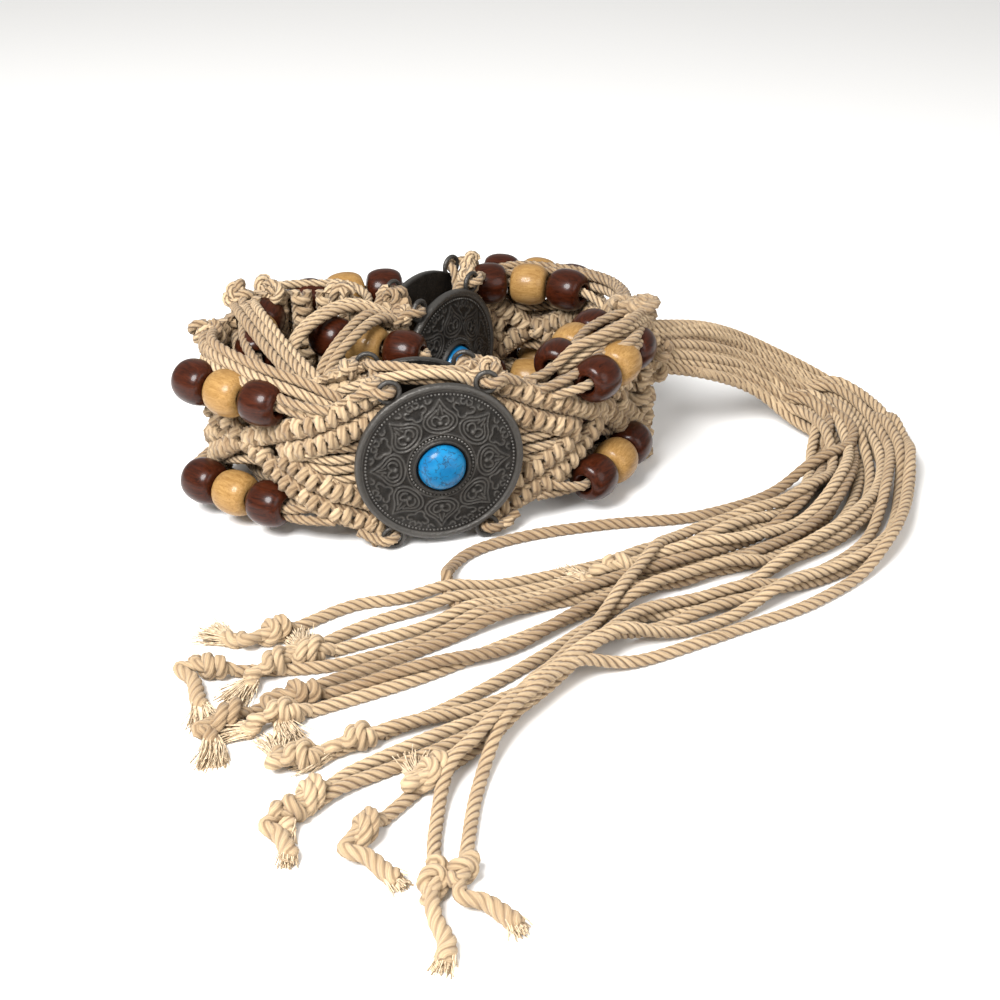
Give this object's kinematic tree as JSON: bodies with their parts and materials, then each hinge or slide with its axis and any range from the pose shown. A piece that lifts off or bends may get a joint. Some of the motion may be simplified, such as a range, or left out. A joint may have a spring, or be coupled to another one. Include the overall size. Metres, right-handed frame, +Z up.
{
  "type": "rope belt",
  "caption": "Knotted cotton rope belt with domed metal conchos, wooden beads and a long knotted fringe, coiled on its edge.",
  "frame": {"origin": "middle of the coiled band, on the surface it stands on", "axes": "+Z up, -Y towards the viewer in the picture, +X to the side where the fringe leaves the band"},
  "size_m": [0.1912, 0.2454, 0.0466],
  "materials": {
    "cotton_cord": "matte",
    "dark_wood": "gloss",
    "light_wood": "satin",
    "concho_metal": "antique",
    "blue_stone": "polished"
  },
  "bodies": {
    "root": {"bead_inner_back_left_bottom_after": "dark_wood", "bead_inner_back_left_bottom_before": "dark_wood", "bead_inner_back_left_bottom_middle": "light_wood", "bead_inner_back_left_top_after": "dark_wood", "bead_inner_back_left_top_before": "dark_wood", "bead_inner_back_left_top_middle": "light_wood", "bead_inner_back_right_bottom_after": "dark_wood", "bead_inner_back_right_bottom_before": "dark_wood", "bead_inner_back_right_bottom_middle": "light_wood", "bead_inner_back_right_top_after": "dark_wood", "bead_inner_back_right_top_before": "dark_wood", "bead_inner_back_right_top_middle": "light_wood", "bead_inner_left_bottom_after": "dark_wood", "bead_inner_left_bottom_before": "dark_wood", "bead_inner_left_bottom_middle": "light_wood", "bead_inner_left_top_after": "dark_wood", "bead_inner_left_top_before": "dark_wood", "bead_inner_left_top_middle": "light_wood", "bead_inner_right_bottom_after": "dark_wood", "bead_inner_right_bottom_before": "dark_wood", "bead_inner_right_bottom_middle": "light_wood", "bead_inner_right_top_after": "dark_wood", "bead_inner_right_top_before": "dark_wood", "bead_inner_right_top_middle": "light_wood", "bead_outer_back_left_bottom_after": "dark_wood", "bead_outer_back_left_bottom_before": "dark_wood", "bead_outer_back_left_bottom_middle": "light_wood", "bead_outer_back_left_top_after": "dark_wood", "bead_outer_back_left_top_before": "dark_wood", "bead_outer_back_left_top_middle": "light_wood", "bead_outer_back_right_bottom_after": "dark_wood", "bead_outer_back_right_bottom_before": "dark_wood", "bead_outer_back_right_bottom_middle": "light_wood", "bead_outer_back_right_top_after": "dark_wood", "bead_outer_back_right_top_before": "dark_wood", "bead_outer_back_right_top_middle": "light_wood", "bead_outer_left_bottom_after": "dark_wood", "bead_outer_left_bottom_before": "dark_wood", "bead_outer_left_bottom_middle": "light_wood", "bead_outer_left_top_after": "dark_wood", "bead_outer_left_top_before": "dark_wood", "bead_outer_left_top_middle": "light_wood", "bead_outer_right_bottom_after": "dark_wood", "bead_outer_right_bottom_before": "dark_wood", "bead_outer_right_bottom_middle": "light_wood", "bead_outer_right_top_after": "dark_wood", "bead_outer_right_top_before": "dark_wood", "bead_outer_right_top_middle": "light_wood", "concho_inner_back": "concho_metal", "concho_inner_front": "concho_metal", "concho_outer_back": "concho_metal", "concho_outer_front": "concho_metal", "fringe": "cotton_cord", "knotted_band": "cotton_cord", "stone_inner_back": "blue_stone", "stone_inner_front": "blue_stone", "stone_outer_back": "blue_stone", "stone_outer_front": "blue_stone"}
  },
  "joints": []
}
